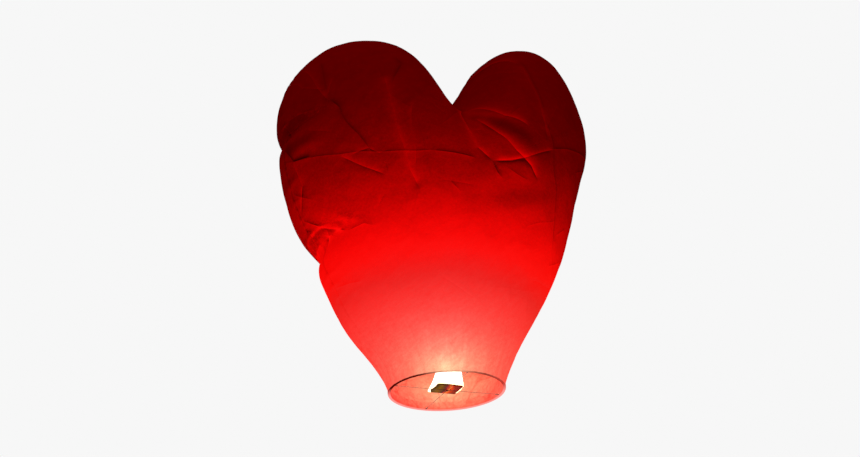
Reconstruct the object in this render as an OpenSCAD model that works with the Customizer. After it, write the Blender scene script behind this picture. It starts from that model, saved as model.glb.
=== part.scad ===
// Heart-shaped sky lantern, standing on its mouth.
// Origin at the centre of the mouth, in the plane the hem rests on. +Z runs up through the
// envelope, +X towards one lobe of the heart, and -Y is the front.

/* [Envelope] */
// Half width of the envelope at its widest level
half_w = 418; // [390:2:440]
// Half depth of the envelope, front to back, at the same level
half_d = 315; // [260:5:330]
// Height of the widest level above the mouth
wide_z = 670; // [620:5:700]
// Height of the lobes above the widest level
lobe_h = 280; // [250:5:300]
// Distance of each lobe's top from the middle, as a share of half_w
lobe_x = 0.54; // [0.50:0.01:0.58]
// Height of the cleft between the lobes, as a share of lobe_h
cleft = 0.28; // [0.20:0.02:0.40]
// Depth of the valley below the cleft, as a share of the envelope's depth there
valley = 0.42; // [0.30:0.02:0.50]
// Half width of that valley
valley_w = 92; // [80:2:110]
// Thickness of the paper shells
paper_t = 0.3; // [0.3:0.1:1]

/* [Mouth] */
// Outer radius of the mouth, over the hem
mouth_r = 150; // [145:1:160]
// Height of the hem's outer wall
hem_h = 15; // [14:1:20]
// Height of the hem's inner wall
hem_in_h = 11; // [10:1:13]
// Thickness of the hem's doubled paper
hem_t = 0.5; // [0.4:0.1:0.6]
// Radial thickness of the bamboo hoop
cane_t = 3; // [2.5:0.5:3]
// Height of the bamboo hoop
cane_h = 5; // [4:0.5:5]
// Room between the hoop and the hem around it, for the wire that loops there
pocket_gap = 1.1; // [1.1:0.1:1.4]
// Angle around the hoop at which its ends are joined
splice_a = 215; // [200:5:250]

/* [Wires] */
// Diameter of the cross wires
wire_d = 1; // [0.8:0.1:1]
// Turns that each wire end makes around its own wire
end_turns = 5; // [3:1:6]
// Diameter of the thin binding wire
tie_d = 0.6; // [0.5:0.1:0.6]
// Diameter of the fork that holds the fuel cell
fork_d = 1.2; // [1:0.1:1.4]
// Distance from the middle to each prong
prong_r = 10; // [8:1:14]

/* [Fuel cell] */
// Width of the fuel sheets
fuel_w = 68; // [50:2:70]
// Depth of the fuel sheets
fuel_d = 58; // [50:2:64]
// Thickness of one fuel sheet
fuel_t = 2.4; // [2:0.2:3]
// Radial room of the prongs in the sheets' holes
prong_gap = 0.08; // [0.04:0.01:0.1]

/* [Hidden] */
SHEETS = 4;

PAPER = [0.72, 0.03, 0.04];
CANE = [0.80, 0.66, 0.42];
STEEL = [0.60, 0.60, 0.62];
FUEL = [0.48, 0.31, 0.16];

// Rows of facets below the widest level, rows above it, and columns across a panel
LOW_ROWS = 18;
TOP_ROWS = 14;
COLS = 48;
// How quickly the sides spread from the mouth, and the front and back
SIDE_POWER = 1.2;
FACE_POWER = 0.85;
// The valley begins this far below the widest level and is full this far above where it begins
VALLEY_DROP = 150;
VALLEY_RISE = 250;

// Heights in the mouth: the hoop stands in its pocket, and wire a crosses just over wire b
cane_z = hem_t + pocket_gap;
cane_mid_z = cane_z + cane_h / 2;
cane_mid_r = mouth_r - hem_t - pocket_gap - cane_t / 2;
hem_in_r = cane_mid_r - cane_t / 2 - pocket_gap - hem_t;
wire_a_z = cane_mid_z + wire_d / 2;
wire_b_z = cane_mid_z - wire_d / 2;
fork_z = wire_b_z - wire_d / 2 - fork_d / 2;
// The tie wraps everything that crosses in the middle
snug = 0.05;
tie_low = fork_z - fork_d / 2 - snug - tie_d / 2;
tie_high = wire_a_z + wire_d / 2 + snug + tie_d / 2;
fuel_z = tie_high + tie_d / 2 + snug;
prong_top = fuel_z + SHEETS * fuel_t + 6;

// ---- general helpers ----

function smooth(t) = let (c = min(max(t, 0), 1)) c * c * (3 - 2 * c);
function unit(v) = v / norm(v);
function flat(lists) = [for (l = lists) each l];

// A frame of two normals carried along a path without twisting
function carried(n, t) = unit(n - (n * t) * t);
function tangent(p, i) = unit(p[min(i + 1, len(p) - 1)] - p[max(i - 1, 0)]);
function normals(p, i, n) =
    i == len(p) ? [] : let (m = carried(n, tangent(p, i))) concat([m], normals(p, i + 1, m));

// A round wire along a path, as one closed solid with flat ends
module swept_wire(path, d, start_normal, sides = 8) {
    side = normals(path, 0, start_normal);
    count = len(path);
    points = flat([
        for (i = [0 : count - 1])
            let (u = side[i], v = cross(tangent(path, i), u))
                [for (k = [0 : sides - 1])
                    let (a = 360 * (k + 0.5) / sides) path[i] + d / 2 * (cos(a) * u + sin(a) * v)]
    ]);
    walls = [
        for (i = [0 : count - 2], k = [0 : sides - 1])
            let (a = i * sides + k, b = i * sides + (k + 1) % sides)
                each [[a, a + sides, b + sides], [a, b + sides, b]]
    ];
    low_end = [for (k = [0 : sides - 1]) k];
    high_end = [for (k = [sides - 1 : -1 : 0]) (count - 1) * sides + k];
    polyhedron(points, concat(walls, [low_end, high_end]), convexity = 10);
}

// A quarter turn of radius r about c, from angle a, in a plane given by two directions
function quarter(c, r, a, u, v, way = 1, steps = 3) =
    [for (i = [0 : steps]) let (w = a + way * 90 * i / steps) c + r * (cos(w) * u + sin(w) * v)];

// A binding of several turns around a rectangular bundle. It advances along X, and the bundle
// measures 2 * hy by 2 * hz to the wire's centre line.
module binding(hy, hz, turns, pitch) {
    r = 0.5;
    turn = flat([
        for (q = [0 : 3])
            let (sy = (q == 0 || q == 3) ? 1 : -1, sz = q < 2 ? 1 : -1)
                quarter([0, sy * (hy - r), sz * (hz - r)], r, 90 * q, [0, 1, 0], [0, 0, 1])
    ]);
    per = len(turn);
    total = turns * per;
    path = [for (i = [0 : total]) turn[i % per] + [pitch * (i / per - turns / 2), 0, 0]];
    swept_wire(path, tie_d, [1, 0, 0], 6);
}

// ---- envelope ----

// Half width and half depth of the section at height z, for a shell set in by t
function spread(z, p) = pow(sin(90 * min(max((z - hem_h) / (wide_z - hem_h), 0), 1)), p);
function section_w(z, t) = mouth_r - t + (half_w - mouth_r) * spread(z, SIDE_POWER);
function section_d(z, t) = mouth_r - t + (half_d - mouth_r) * spread(z, FACE_POWER);

// Height of the outline above the widest level, at a share s of the half width
function outline(s) =
    abs(s) >= lobe_x
        ? sqrt(max(0, 1 - pow((abs(s) - lobe_x) / (1 - lobe_x), 2)))
        : cleft + (1 - cleft) * (1 - pow((lobe_x - abs(s)) / lobe_x, 2));

// The valley that runs down each face from the cleft
function in_valley(x, z) =
    1 - valley * exp(-pow(x / valley_w, 2)) * smooth((z - wide_z + VALLEY_DROP) / VALLEY_RISE);

// A point of a panel: row i from the mouth to the outline, column j from -X to +X
function panel_point(i, j, t, way) =
    let (
        a = 90 * (2 * j / COLS - 1),
        low = i <= LOW_ROWS,
        rise = low ? 0 : 90 * (i - LOW_ROWS) / TOP_ROWS,
        level = hem_h + (wide_z - hem_h) * min(i, LOW_ROWS) / LOW_ROWS,
        x = section_w(level, t) * sin(a),
        z = level + (low ? 0 : (lobe_h - t) * outline(sin(a)) * sin(rise)),
        y = section_d(level, t) * cos(a) * cos(rise) * in_valley(x, z)
    )
    [x, way * y, z];

// Above the widest level the first and last columns shrink to one point each
function shared_row(i, j) = (j == 0 || j == COLS) ? min(i, LOW_ROWS) : i;

module panel(way) {
    rows = LOW_ROWS + TOP_ROWS;
    wide = COLS + 1;
    skin = (rows + 1) * wide;
    points = [for (t = [0, paper_t], i = [0 : rows], j = [0 : COLS]) panel_point(i, j, t, way)];
    function at(i, j, inner = false) = (inner ? skin : 0) + shared_row(i, j) * wide + j;
    function turned(f) = way < 0 ? f : [for (k = [len(f) - 1 : -1 : 0]) f[k]];
    outer = [
        for (i = [0 : rows - 1], j = [0 : COLS - 1])
            each [[at(i, j), at(i + 1, j + 1), at(i, j + 1)], [at(i, j), at(i + 1, j), at(i + 1, j + 1)]]
    ];
    inner = [for (f = outer) [skin + f[0], skin + f[2], skin + f[1]]];
    // The shell's edge: along the mouth, up one side, over the lobes and down the other side
    edge = concat(
        [for (j = [0 : COLS]) [0, j]],
        [for (i = [1 : LOW_ROWS]) [i, COLS]],
        [for (j = [COLS - 1 : -1 : 1]) [rows, j]],
        [for (i = [LOW_ROWS : -1 : 1]) [i, 0]]
    );
    rim = [
        for (k = [0 : len(edge) - 1])
            let (p = edge[k], q = edge[(k + 1) % len(edge)])
                each [
                    [at(p[0], p[1]), at(q[0], q[1]), at(q[0], q[1], true)],
                    [at(p[0], p[1]), at(q[0], q[1], true), at(p[0], p[1], true)]
                ]
    ];
    function real(f) = f[0] != f[1] && f[1] != f[2] && f[2] != f[0];
    polyhedron(points, [for (f = concat(outer, inner, rim)) if (real(f)) turned(f)], convexity = 10);
}

module front_panel() { color(PAPER) panel(-1); }
module back_panel() { color(PAPER) panel(1); }

// ---- mouth ----

// Paper turned in around the hoop, with a slot at each wire
module mouth_hem() {
    slot_w = 5 * wire_d;
    slot_z = wire_b_z - 1.8 * wire_d;
    color(PAPER) difference() {
        rotate_extrude($fn = 96) polygon([
            [hem_in_r, 0], [mouth_r, 0], [mouth_r, hem_h], [mouth_r - hem_t, hem_h],
            [mouth_r - hem_t, hem_t], [hem_in_r + hem_t, hem_t], [hem_in_r + hem_t, hem_in_h],
            [hem_in_r, hem_in_h]
        ]);
        for (a = [0, 90])
            rotate(a) translate([-hem_in_r - 1, -slot_w / 2, slot_z])
                cube([2 * hem_in_r + 2, slot_w, hem_in_h]);
    }
}

// Split-bamboo hoop, cut through at a long slant where its ends are joined
module bamboo_ring() {
    cut_l = 60;
    cut_w = 0.3;
    slant = asin(cane_t / 34);
    color(CANE) difference() {
        translate([0, 0, cane_z]) rotate_extrude($fn = 96)
            translate([cane_mid_r - cane_t / 2, 0]) square([cane_t, cane_h]);
        rotate(splice_a) translate([cane_mid_r, 0, cane_mid_z]) rotate(90 + slant)
            cube([cut_l, cut_w, cane_h + 1], center = true);
    }
}

// Binding of thin wire around the hoop, this far along it from the middle of the joint
module splice_binding(along) {
    color(STEEL) rotate(splice_a + along / cane_mid_r * 180 / PI)
        translate([cane_mid_r, 0, cane_mid_z]) rotate(90)
            binding(cane_t / 2 + snug + tie_d / 2, cane_h / 2 + snug + tie_d / 2, 3, tie_d + 0.15);
}

// ---- wires ----

// One end of a cross wire, as a path: out to the hoop, over it, around it and back under, then
// turns around its own wire
function wire_end(z) =
    let (
        hw = (cane_t + wire_d) / 2 + snug,
        hh = (cane_h + wire_d) / 2 + snug,
        r = 0.8,
        in_r = cane_mid_r - hw,
        top = cane_mid_z + hh,
        low = cane_mid_z - hh,
        x = [1, 0, 0],
        up = [0, 0, 1],
        loop = concat(
            quarter([in_r - r, 0, z + r], r, -90, x, up),
            quarter([in_r + r, 0, top - r], r, 180, x, up, -1),
            quarter([cane_mid_r + hw - r, 0, top - r], r, 90, x, up, -1),
            quarter([cane_mid_r + hw - r, 0, low + r], r, 0, x, up, -1),
            quarter([in_r + r, 0, low + r], r, -90, x, up, -1),
            quarter([in_r - r, 0, z - r], r, 0, x, up)
        ),
        aside = wire_d + 2 * snug,
        moved = [for (i = [0 : len(loop) - 1]) loop[i] + [0, aside * smooth(i / (len(loop) - 1)), 0]],
        steps = 10,
        coil = [
            for (i = [1 : end_turns * steps])
                let (a = 360 * i / steps)
                    [in_r - r - 2.2 * i / steps, aside * cos(a), z - aside * sin(a)]
        ]
    )
    concat(moved, coil);

module cross_wire(z) {
    end = wire_end(z);
    other = [for (i = [len(end) - 1 : -1 : 0]) [-end[i][0], -end[i][1], end[i][2]]];
    swept_wire(concat(other, end), wire_d, [0, 0, 1]);
}

module cross_wire_a() { color(STEEL) cross_wire(wire_a_z); }
module cross_wire_b() { color(STEEL) rotate(90) cross_wire(wire_b_z); }

// Thin wire that ties the two cross wires and the fork where they meet
module centre_tie() {
    turns = 3;
    pitch = tie_d + 0.1;
    clear = wire_d / sqrt(2) + turns / 2 * pitch + tie_d / 2 + snug;
    color(STEEL) translate([0, 0, (tie_low + tie_high) / 2]) rotate(135)
        binding(clear + tie_d / 2, (tie_high - tie_low) / 2, turns, pitch);
}

// Hairpin under the crossing, with two upright prongs
module fuel_fork() {
    bend = 2.5;
    leg_h = prong_top - fork_z - bend;
    color(STEEL) rotate(135) translate([0, 0, fork_z]) {
        rotate([0, 90, 0]) cylinder(d = fork_d, h = 2 * (prong_r - bend), center = true, $fn = 24);
        for (a = [0, 180]) rotate(a) {
            translate([prong_r, 0, bend]) cylinder(d = fork_d, h = leg_h, $fn = 24);
            translate([prong_r - bend, 0, bend]) rotate([90, 0, 0]) rotate(-90)
                rotate_extrude(angle = 90, $fn = 24) translate([bend, 0]) circle(d = fork_d, $fn = 24);
        }
    }
}

// ---- fuel cell ----

// One sheet of waxed board with a hole at each prong
module fuel_sheet(i) {
    color(FUEL) difference() {
        translate([-fuel_w / 2, -fuel_d / 2, fuel_z + i * fuel_t]) cube([fuel_w, fuel_d, fuel_t]);
        for (a = [135, 315])
            rotate(a) translate([prong_r, 0, fuel_z + i * fuel_t - 1])
                cylinder(r = fork_d / 2 + prong_gap, h = fuel_t + 2, $fn = 24);
    }
}

front_panel();
back_panel();
mouth_hem();
bamboo_ring();
splice_binding(-9);  // splice_binding_1
splice_binding(9);  // splice_binding_2
cross_wire_a();
cross_wire_b();
centre_tie();
fuel_fork();
for (i = [1 : SHEETS]) fuel_sheet(i - 1);
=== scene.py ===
"""Heart-shaped sky lantern, lit: paper, bamboo, wire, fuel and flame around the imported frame.

Everything is in metres, in the frame's own axes: +Z up through the envelope, -Y to the front.
"""
import math
from functools import reduce

import bmesh
import bpy
import numpy as np
from mathutils import Matrix, Vector, kdtree


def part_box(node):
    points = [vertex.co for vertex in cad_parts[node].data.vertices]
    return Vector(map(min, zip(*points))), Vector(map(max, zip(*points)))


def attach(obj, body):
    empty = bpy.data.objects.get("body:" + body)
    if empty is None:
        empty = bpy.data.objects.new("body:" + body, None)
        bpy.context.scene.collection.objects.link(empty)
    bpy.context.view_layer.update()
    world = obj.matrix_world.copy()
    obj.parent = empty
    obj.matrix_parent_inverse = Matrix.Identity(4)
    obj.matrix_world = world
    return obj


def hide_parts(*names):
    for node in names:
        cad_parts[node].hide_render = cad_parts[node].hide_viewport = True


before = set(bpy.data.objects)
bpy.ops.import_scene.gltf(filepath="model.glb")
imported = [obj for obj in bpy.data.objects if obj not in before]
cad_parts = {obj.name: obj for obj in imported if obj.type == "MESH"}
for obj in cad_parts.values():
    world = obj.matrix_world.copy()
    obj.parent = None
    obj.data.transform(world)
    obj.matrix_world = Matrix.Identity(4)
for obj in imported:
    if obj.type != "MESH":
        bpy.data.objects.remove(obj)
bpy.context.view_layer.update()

# ------------------------ driving sizes

HALF_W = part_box("front_panel")[1][0]  # half width of the envelope at its widest level
HALF_D = 0.315  # half depth there, before the valleys are pressed in
WIDE_Z = 0.670  # height of the widest level
LOBE_H = 0.280
LOBE_X = 0.54  # place of each lobe's top, as a share of the half width
CLEFT = 0.28  # height of the cleft, as a share of the lobes' height
VALLEY, VALLEY_W = 0.42, 0.092  # the dip that runs down each face from the cleft
SIDE_POWER, FACE_POWER = 1.2, 0.85  # how quickly the sides and the faces spread from the mouth
MOUTH_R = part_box("mouth_hem")[1][1]
HEM_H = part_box("mouth_hem")[1][2]
CELL_LOW, CELL_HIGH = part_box("fuel_sheet_1")[0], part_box("fuel_sheet_4")[1]
FLAME = Vector((0.0, 0.0, 0.09))  # the middle of the flame

LOW_ROWS, TOP_ROWS, COLS = 190, 108, 280  # the grid of one panel
LAP = 0.008  # width of the glued lap along the seam
BOARD_CORNER = 0.0025  # radius of a board's corners
FLAME_H = 0.165

RED = (0.078, 0.0, 0.0)  # the paper by daylight
PALE = (0.93, 0.93, 0.93)  # the room


# ------------------------ noise, on numpy arrays


def smooth(t):
    t = np.clip(t, 0, 1)
    return t * t * (3 - 2 * t)


def hashed(cell, seed):
    """A random number from 0 to 1 for each whole-number cell (..., 3)."""
    c = cell.astype(np.int64).astype(np.uint64)
    n = c[..., 0] * np.uint64(73856093) ^ c[..., 1] * np.uint64(19349663)
    n = n ^ c[..., 2] * np.uint64(83492791) ^ np.uint64(seed * 2654435761 % 2**32)
    n = (n ^ (n >> np.uint64(13))) * np.uint64(1274126177)
    n = (n ^ (n >> np.uint64(16))) * np.uint64(2246822519)
    return ((n >> np.uint64(8)) % np.uint64(1 << 24)).astype(float) / (1 << 24)


def value_noise(p, size, seed):
    """Smooth noise from -1 to 1 with features of that size, at points (..., 3)."""
    q = p / size
    low = np.floor(q)
    f = smooth(q - low)
    total = np.zeros(p.shape[:-1])
    for corner in np.ndindex(2, 2, 2):
        weight = np.prod(np.where(np.array(corner) == 1, f, 1 - f), axis=-1)
        total += weight * hashed(low + np.array(corner), seed)
    return 2 * total - 1


def facets(p, size, seed):
    """How far each point is from the nearest edge between random facets of that size, from 0 to 1."""
    q = p / size
    low = np.floor(q)
    near = np.full(p.shape[:-1], 9.0)
    second = near.copy()
    for step in np.ndindex(3, 3, 3):
        cell = low + np.array(step) - 1
        spot = cell + np.stack([hashed(cell, seed + k) for k in (1, 2, 3)], axis=-1)
        d = np.linalg.norm(q - spot, axis=-1)
        second = np.minimum(second, np.maximum(near, d))
        near = np.minimum(near, d)
    return np.clip(second - near, 0, 1)


# ------------------------ the envelope's shape


def spread(z, wide, power):
    s = np.sin(np.pi / 2 * np.clip((z - HEM_H) / (WIDE_Z - HEM_H), 0, 1)) ** power
    return MOUTH_R + (wide - MOUTH_R) * s


def outline(s):
    """Height of the heart's top edge, as a share of the lobes' height, at a share s of the half width."""
    s = np.abs(s)
    outer = np.sqrt(np.clip(1 - ((s - LOBE_X) / (1 - LOBE_X)) ** 2, 0, 1))
    inner = CLEFT + (1 - CLEFT) * (1 - ((LOBE_X - s) / LOBE_X) ** 2)
    return np.where(s >= LOBE_X, outer, inner)


def panel_grid(way):
    """The smooth surface of the front (way -1) or back (way 1), as points (rows, columns, 3)."""
    rows = np.arange(LOW_ROWS + TOP_ROWS + 1)[:, None]
    across = np.pi / 2 * np.linspace(-1, 1, COLS + 1)[None, :]
    rise = np.pi / 2 * np.clip((rows - LOW_ROWS) / TOP_ROWS, 0, 1)
    level = HEM_H + (WIDE_Z - HEM_H) * np.clip(rows / LOW_ROWS, 0, 1)
    x = spread(level, HALF_W, SIDE_POWER) * np.sin(across)
    z = level + LOBE_H * outline(np.sin(across)) * np.sin(rise)
    dip = np.exp(-((x / VALLEY_W) ** 2)) * smooth((z - WIDE_Z + 0.15) / 0.25)
    y = spread(level, HALF_D, FACE_POWER) * np.cos(across) * np.cos(rise) * (1 - VALLEY * dip)
    return np.stack([x, way * y, z], axis=-1)


def grid_normals(g, way):
    """Outward unit normals of a panel's grid. On the seam they lie in the seam's own plane."""
    du, dv = np.gradient(g, axis=1), np.gradient(g, axis=0)
    n = np.cross(du, dv) * way * -1
    n[:, [0, -1], 1] = 0
    n[-1, :, 1] = 0
    size = np.linalg.norm(n, axis=-1, keepdims=True)
    n = np.where(size > 1e-12, n / np.maximum(size, 1e-12), 0)
    n[LOW_ROWS:, 0] = (-1, 0, 0)
    n[LOW_ROWS:, -1] = (1, 0, 0)
    return n


def gaps(points, axis=0):
    """The distances between neighbouring points along one axis of their grid."""
    return np.linalg.norm(np.diff(points, axis=axis), axis=-1)


def sheet_coordinates(g):
    """Distance across from the middle column, and distance up from the mouth, along the sheet."""
    s = np.concatenate([np.zeros((g.shape[0], 1)), np.cumsum(gaps(g, 1), axis=1)], axis=1)
    s -= s[:, [COLS // 2]]
    t = np.concatenate([np.zeros((1, g.shape[1])), np.cumsum(gaps(g), axis=0)], axis=0)
    return s, t


def seam_points(g):
    """The seam from the mouth up the -X side, over the lobes and down the +X side."""
    return np.concatenate([g[:LOW_ROWS, 0], g[-1], g[:LOW_ROWS, -1][::-1]])


def from_seam(g, seam):
    """(distance to the seam, place along it) for each point of a panel."""
    run = np.concatenate([[0], np.cumsum(gaps(seam))])
    tree = kdtree.KDTree(len(seam))
    for i, p in enumerate(seam):
        tree.insert(p, i)
    tree.balance()
    found = [tree.find(p) for p in g.reshape(-1, 3)]
    away = np.array([f[2] for f in found]).reshape(g.shape[:2])
    along = run[np.array([f[1] for f in found])].reshape(g.shape[:2])
    return away, along


# ------------------------ billows, puckers and creases

# Where the hot air and the hands push the sheets off the even shape: the place (x, z), the reach
# (across, up) and the shift (x, z), given in steps of 5 mm
PUSHES = [
    ((0.28, 0.88), (0.15, 0.12), (0.005, 0.030)),  # the lobe on +X stands taller
    ((0.42, 0.74), (0.12, 0.11), (0.015, -0.020)),  # and its shoulder hangs out and down
    ((0.02, 0.77), (0.10, 0.06), (0.020, -0.025)),  # the cleft is dragged down towards it
    ((0.08, 0.86), (0.05, 0.06), (0.015, -0.005)),
    ((-0.22, 0.93), (0.14, 0.08), (0.010, -0.010)),  # the other lobe leans in
    ((0.40, 0.50), (0.14, 0.15), (-0.020, 0)),  # the side on +X is drawn straight
    ((-0.43, 0.77), (0.10, 0.07), (-0.010, 0)),  # the other side billows,
    ((-0.43, 0.665), (0.08, 0.02), (0.025, 0)),  # is pinched in,
    ((-0.33, 0.365), (0.065, 0.03), (0.030, 0)),  # is pinched again, deeper,
    ((-0.22, 0.18), (0.12, 0.10), (-0.020, 0)),  # and bags out above the mouth
]

# Sharp folds of the front sheet, as places (x, z) on its face, with the fold's height (outward is
# positive) and how far its slopes reach
FRONT_FOLDS = [
    ([(-0.418, 0.585), (-0.33, 0.54), (-0.205, 0.53), (-0.12, 0.525)], -0.0011, 0.004),
    ([(-0.13, 0.526), (-0.07, 0.522), (-0.015, 0.515)], -0.0020, 0.005),
    ([(0.04, 0.515), (0.12, 0.535), (0.225, 0.585)], 0.0026, 0.006),
    ([(0.21, 0.58), (0.31, 0.62), (0.40, 0.67)], -0.0012, 0.004),
    ([(-0.35, 0.835), (-0.35, 0.765), (-0.352, 0.70)], -0.0018, 0.006),
    ([(-0.352, 0.695), (-0.325, 0.64), (-0.295, 0.585), (-0.258, 0.528)], -0.0026, 0.006),
    ([(-0.335, 0.76), (-0.355, 0.695)], 0.0026, 0.007),
    ([(-0.378, 0.825), (-0.365, 0.735), (-0.352, 0.69)], 0.0028, 0.007),
    ([(-0.235, 0.735), (-0.215, 0.625), (-0.20, 0.555), (-0.18, 0.48), (-0.155, 0.43)], 0.0052, 0.013),
    ([(-0.17, 0.655), (-0.165, 0.48)], 0.0020, 0.006),
    ([(-0.19, 0.805), (-0.18, 0.775), (-0.215, 0.71)], -0.0026, 0.008),
    ([(-0.33, 0.535), (-0.23, 0.47)], 0.0024, 0.006),
    ([(-0.31, 0.53), (-0.27, 0.543), (-0.245, 0.53), (-0.225, 0.535)], 0.0014, 0.005),
    ([(-0.418, 0.63), (-0.405, 0.575), (-0.38, 0.56)], -0.0042, 0.008),
    ([(-0.405, 0.57), (-0.385, 0.50), (-0.37, 0.435)], 0.0024, 0.006),
    ([(-0.395, 0.505), (-0.365, 0.455)], -0.0012, 0.005),
    ([(-0.39, 0.46), (-0.365, 0.425), (-0.34, 0.39), (-0.315, 0.37)], -0.0017, 0.006),
    ([(-0.315, 0.37), (-0.28, 0.37), (-0.25, 0.355)], -0.0012, 0.006),
    ([(-0.34, 0.39), (-0.335, 0.35), (-0.32, 0.32)], -0.0010, 0.006),
    ([(-0.30, 0.285), (-0.28, 0.25), (-0.24, 0.235)], -0.0014, 0.006),
    ([(0.005, 0.735), (-0.02, 0.66), (-0.02, 0.60), (-0.01, 0.545), (0.03, 0.515)], 0.0056, 0.010),
    ([(0.015, 0.735), (0.05, 0.695), (0.085, 0.655), (0.15, 0.625)], 0.0046, 0.013),
    ([(0.02, 0.655), (0.06, 0.605), (0.105, 0.555), (0.15, 0.52), (0.17, 0.485)], 0.0062, 0.010),
    ([(-0.005, 0.60), (0.02, 0.615), (0.03, 0.65)], 0.0022, 0.006),
    ([(0.03, 0.515), (0.09, 0.525), (0.14, 0.545)], 0.0032, 0.006),
    ([(0.03, 0.515), (0.045, 0.485), (0.06, 0.465)], -0.0036, 0.007),
    ([(0.045, 0.485), (0.055, 0.50)], 0.0022, 0.005),
    ([(0.07, 0.505), (0.10, 0.49), (0.135, 0.48)], -0.0014, 0.006),
    ([(0.09, 0.885), (0.13, 0.865), (0.155, 0.83)], 0.0034, 0.009),
    ([(0.155, 0.83), (0.165, 0.77), (0.19, 0.67), (0.205, 0.60)], 0.0036, 0.009),
    ([(0.165, 0.84), (0.177, 0.77), (0.20, 0.67)], -0.0022, 0.006),
    ([(0.20, 0.66), (0.225, 0.59), (0.235, 0.485), (0.235, 0.325)], -0.0013, 0.005),
    ([(0.245, 0.375), (0.30, 0.41)], -0.0014, 0.005),
    ([(0.22, 0.29), (0.295, 0.34)], -0.0012, 0.005),
    ([(-0.09, 0.455), (-0.055, 0.425)], -0.0016, 0.005),
    ([(0.085, 0.285), (0.10, 0.15)], -0.0010, 0.007),
    ([(-0.13, 0.085), (-0.115, 0.025)], -0.0018, 0.004),
    ([(-0.155, 0.135), (-0.125, 0.07)], -0.0012, 0.004),
]
# Folds of the back sheet, which was packed together with the front
BACK_FOLDS = [
    ([(-0.41, 0.60), (-0.2, 0.545), (0.05, 0.53), (0.22, 0.57), (0.40, 0.66)], 0.0014, 0.004),
    ([(-0.36, 0.44), (-0.18, 0.37), (0.1, 0.36), (0.33, 0.42)], -0.0013, 0.005),
    ([(-0.28, 0.26), (0.0, 0.22), (0.27, 0.25)], 0.0010, 0.005),
    ([(-0.2, 0.8), (-0.22, 0.6), (-0.2, 0.4), (-0.13, 0.2)], -0.0014, 0.005),
    ([(0.18, 0.84), (0.21, 0.62), (0.2, 0.42)], 0.0016, 0.006),
    ([(-0.01, 0.72), (0.015, 0.62), (-0.01, 0.52)], 0.0036, 0.010),
    ([(-0.03, 0.72), (-0.1, 0.62), (-0.2, 0.56)], 0.0034, 0.009),
    ([(0.03, 0.72), (0.09, 0.62), (0.16, 0.55)], 0.0034, 0.010),
    ([(0.33, 0.78), (0.36, 0.68), (0.31, 0.57)], -0.0018, 0.006),
    ([(-0.33, 0.80), (-0.30, 0.70), (-0.34, 0.60)], 0.0018, 0.006),
    ([(-0.38, 0.56), (-0.30, 0.50), (-0.26, 0.42)], -0.0020, 0.006),
]
# Broad hollows and swells, as (x, z), (reach across, reach up), depth and the turn of the long way
FRONT_SWELLS = [
    ((0.105, 0.592), (0.080, 0.027), -0.0065, -34),
    ((0.055, 0.650), (0.065, 0.018), 0.007, -24),
    ((0.045, 0.585), (0.03, 0.05), -0.006, 10),
    ((-0.05, 0.66), (0.03, 0.10), 0.006, 12),
    ((-0.40, 0.60), (0.025, 0.02), -0.005, 0),
    ((-0.30, 0.70), (0.05, 0.13), -0.004, 8),
    ((0.26, 0.70), (0.05, 0.14), 0.005, -8),
    ((0.10, 0.45), (0.12, 0.03), 0.004, 15),
    ((0.25, 0.12), (0.08, 0.05), -0.004, 40),
]
BACK_SWELLS = [
    ((-0.12, 0.64), (0.08, 0.03), -0.010, 36),
    ((0.11, 0.65), (0.08, 0.03), -0.010, -36),
    ((0.30, 0.50), (0.06, 0.10), 0.005, 15),
    ((-0.28, 0.38), (0.09, 0.03), -0.006, -20),
    ((0.0, 0.32), (0.14, 0.03), 0.004, 5),
]
LAYERS = ("fold_a", "fold_b", "fold_c", "fold_d")
FAR = 0.08  # the distance that a layer holds where it has no fold
PLAIN_REACH = 0.005  # and the reach that it holds there
FOLD_SPAN = 4.6  # how far from its line a fold is marked, in reaches
FAINT = 0.001  # a fold lower than this is left out where every layer is taken


def stray_folds(count, seed):
    """Short, straight, faint creases all over a sheet that was folded and handled."""
    r = np.random.default_rng(seed)
    made = []
    for _ in range(count):
        x, z = r.uniform(-0.36, 0.36), r.uniform(0.06, 0.88)
        a = r.normal(math.pi / 2, 0.8)
        run = r.uniform(0.04, 0.16)
        bend = r.normal(0, 0.12)
        mid = (x + run / 2 * math.cos(a), z + run / 2 * math.sin(a))
        end = (mid[0] + run / 2 * math.cos(a + bend), mid[1] + run / 2 * math.sin(a + bend))
        height = r.choice([-1, 1]) * r.uniform(0.0003, 0.0008)
        made.append(([(x, z), mid, end], height, r.uniform(0.003, 0.006)))
    return made


def along_line(p, line):
    """(signed distance from a polyline, share of its length where it is nearest) for points (..., 2)."""
    line = np.array(line, float)
    lengths = gaps(line)
    starts = np.concatenate([[0], np.cumsum(lengths)])
    best = np.full(p.shape[:-1], 9.0)
    share = np.zeros(p.shape[:-1])
    side = np.ones(p.shape[:-1])
    for a, b, length, start in zip(line[:-1], line[1:], lengths, starts):
        t = np.clip((p - a) @ (b - a) / length**2, 0, 1)
        d = np.linalg.norm(p - a - t[..., None] * (b - a), axis=-1)
        nearer = d < best
        best = np.where(nearer, d, best)
        share = np.where(nearer, (start + t * length) / starts[-1], share)
        turn = (b - a)[0] * (p - a)[..., 1] - (b - a)[1] * (p - a)[..., 0]
        side = np.where(nearer, np.where(turn < 0, -1.0, 1.0), side)
    return best * side, share


def on_sheet(places, g, s, t):
    """Face places (x, z) as sheet coordinates, by the nearest grid point."""
    found = []
    for x, z in places:
        d = (g[..., 0] - x) ** 2 + (g[..., 2] - z) ** 2
        i = np.unravel_index(d.argmin(), d.shape)
        found.append((s[i], t[i]))
    return found


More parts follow.
